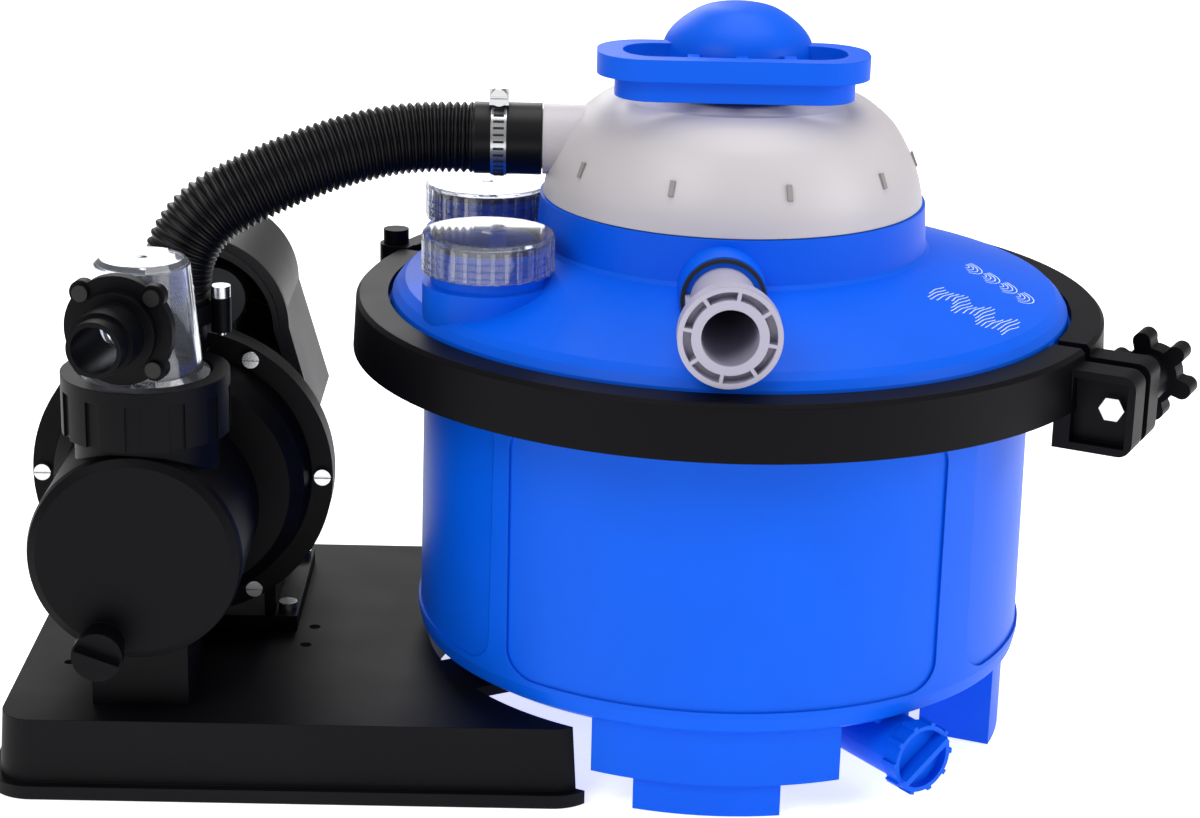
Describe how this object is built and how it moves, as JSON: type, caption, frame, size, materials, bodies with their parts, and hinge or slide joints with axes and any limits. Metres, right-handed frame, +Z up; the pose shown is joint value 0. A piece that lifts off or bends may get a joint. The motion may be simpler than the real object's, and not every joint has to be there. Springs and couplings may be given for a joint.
{
  "type": "pool sand filter and pump set",
  "caption": "Sand-filter tank with clamped lid, press-and-turn valve and clear sight caps, fed through a corrugated hose by a strainer pump on one base tray.",
  "frame": {"origin": "middle of the footprint, on the surface the set stands on", "axes": "+Z up, +X from the pump to the tank, -Y towards the return port"},
  "size_m": [0.6068, 0.392, 0.3805],
  "materials": {
    "tank_blue": "moulded ABS, satin",
    "band_black": "glass-filled polyamide, satin",
    "pump_black": "moulded polypropylene, satin",
    "hood_grey": "moulded ABS, fine grain",
    "tray_black": "moulded polypropylene, grained",
    "dome_grey": "moulded ABS, satin",
    "port_grey": "moulded ABS, satin",
    "clear": "clear polycarbonate, polished",
    "hose_black": "corrugated polyethylene",
    "seal_rubber": "nitrile rubber",
    "steel": "stainless, drawn",
    "black_screws": "black-coated steel",
    "motor_metal": "cast and painted",
    "laminations": "stacked laminations",
    "inner_white": "moulded ABS"
  },
  "bodies": {
    "filter_set": {"base_screws": "steel", "base_tray": "tray_black", "cable_gland": "pump_black", "capacitor": "motor_metal", "clamp_band_rear": "band_black", "clamp_hinge_bolt": "band_black", "clamp_washer": "steel", "collector_hub": "inner_white", "diffuser": "inner_white", "fan_cover": "pump_black", "hose": "hose_black", "hose_clamp_screws": "steel", "hose_cuffs": "hose_black", "laterals": "inner_white", "motor_bearings": "steel", "motor_end_shield": "motor_metal", "motor_foot": "pump_black", "motor_hood": "hood_grey", "motor_housing": "motor_metal", "pump_body": "pump_black", "pump_clip": "band_black", "pump_cover_plate": "pump_black", "pump_flange_screws": "steel", "return_connector": "port_grey", "return_seal": "seal_rubber", "shaft_seal": "seal_rubber", "standpipe": "inner_white", "stator": "laminations", "strainer_basket": "pump_black", "tank_body": "tank_blue", "tank_lid": "tank_blue", "tank_seal": "seal_rubber", "valve_dome": "dome_grey", "valve_gasket": "seal_rubber", "valve_seat_plate": "pump_black", "valve_spring": "steel", "worm_clamp": "steel"},
    "clamp_front": {"clamp_band_front": "band_black", "clamp_bolt": "steel"},
    "clamp_star_knob": {"clamp_knob": "band_black"},
    "valve_press": {"valve_thrust_ring": "pump_black"},
    "valve_turning": {"valve_handle": "tank_blue", "valve_diverter": "pump_black"},
    "sight_front_lift": {"sight_seal_front": "seal_rubber"},
    "sight_front_cap": {"sight_cap_front": "clear"},
    "sight_rear_lift": {"sight_seal_rear": "seal_rubber"},
    "sight_rear_cap": {"sight_cap_rear": "clear"},
    "drain_travel": {"drain_seal": "seal_rubber"},
    "drain_turn_cap": {"drain_cap": "tank_blue"},
    "strainer_lift": {"strainer_lid": "clear", "strainer_seal": "seal_rubber", "suction_adapter": "pump_black", "adapter_screws": "black_screws"},
    "strainer_ring": {"strainer_lock_ring": "pump_black"},
    "pump_drain_travel": {"pump_drain_seal": "seal_rubber"},
    "pump_drain_turn_cap": {"pump_drain_cap": "pump_black"},
    "motor_rotating": {"motor_shaft": "steel", "motor_rotor": "laminations", "impeller": "pump_black", "cooling_fan": "pump_black"}
  },
  "joints": [
    {"name": "sight_front_travel", "type": "slide", "parent": "filter_set", "child": "sight_front_lift", "axis": [0, 0, 1], "range_m": [0, 0.006]},
    {"name": "sight_front_turn", "type": "hinge", "parent": "sight_front_lift", "child": "sight_front_cap", "pos_m": [-0.05796, -0.068, 0.262], "axis": [0, 0, 1], "range_deg": [0, 540]},
    {"name": "sight_rear_travel", "type": "slide", "parent": "filter_set", "child": "sight_rear_lift", "axis": [0, 0, 1], "range_m": [0, 0.006]},
    {"name": "sight_rear_turn", "type": "hinge", "parent": "sight_rear_lift", "child": "sight_rear_cap", "pos_m": [-0.06196, 0.044, 0.262], "axis": [0, 0, 1], "range_deg": [0, 540]},
    {"name": "tank_drain_travel", "type": "slide", "parent": "filter_set", "child": "drain_travel", "axis": [0.5592, -0.829, 0], "range_m": [0, 0.006]},
    {"name": "tank_drain_turn", "type": "hinge", "parent": "drain_travel", "child": "drain_turn_cap", "pos_m": [0.15691, -0.13472, 0.0295], "axis": [0.5592, -0.829, 0], "range_deg": [0, 720]},
    {"name": "strainer_ring_travel", "type": "slide", "parent": "filter_set", "child": "strainer_lift", "axis": [0, 0, 1], "range_m": [0, 0.006]},
    {"name": "strainer_ring_turn", "type": "hinge", "parent": "strainer_lift", "child": "strainer_ring", "pos_m": [-0.22546, -0.092, 0.19], "axis": [0, 0, 1], "range_deg": [0, 360]},
    {"name": "pump_drain_travel", "type": "slide", "parent": "filter_set", "child": "pump_drain_travel", "axis": [0, -1, 0], "range_m": [0, 0.005]},
    {"name": "pump_drain_turn", "type": "hinge", "parent": "pump_drain_travel", "child": "pump_drain_turn_cap", "pos_m": [-0.24396, -0.141, 0.078], "axis": [0, -1, 0], "range_deg": [0, 720]},
    {"name": "clamp_knob_turn", "type": "hinge", "parent": "filter_set", "child": "clamp_star_knob", "pos_m": [0.25672, -0.09715, 0.204], "axis": [0.454, 0.891, 0], "range_deg": [0, 720]},
    {"name": "clamp_open", "type": "hinge", "parent": "filter_set", "child": "clamp_front", "pos_m": [-0.11394, 0.09171, 0.214], "axis": [0, 0, -1], "range_deg": [0, 0.3453]},
    {"name": "valve_press", "type": "slide", "parent": "filter_set", "child": "valve_press", "axis": [0, 0, -1], "range_m": [0, 0.004], "stiffness_N_per_m": 4000, "springref_m": -0.003, "deforming": ["valve_spring"]},
    {"name": "valve_turn", "type": "hinge", "parent": "valve_press", "child": "valve_turning", "pos_m": [0.06604, 0, 0.34], "axis": [0, 0, 1], "continuous": true},
    {"name": "motor_spin", "type": "hinge", "parent": "filter_set", "child": "motor_rotating", "pos_m": [-0.21796, 0, 0.131], "axis": [0, 1, 0], "continuous": true}
  ],
  "couplings": [
    {"joint": "sight_front_travel", "follows": "sight_front_turn", "m_per_rad": 0.00063662},
    {"joint": "sight_rear_travel", "follows": "sight_rear_turn", "m_per_rad": 0.00063662},
    {"joint": "tank_drain_travel", "follows": "tank_drain_turn", "m_per_rad": 0.00047746},
    {"joint": "strainer_ring_travel", "follows": "strainer_ring_turn", "m_per_rad": 0.00095493},
    {"joint": "pump_drain_travel", "follows": "pump_drain_turn", "m_per_rad": 0.00039789},
    {"joint": "clamp_open", "follows": "clamp_knob_turn", "ratio": 0.00047823}
  ]
}
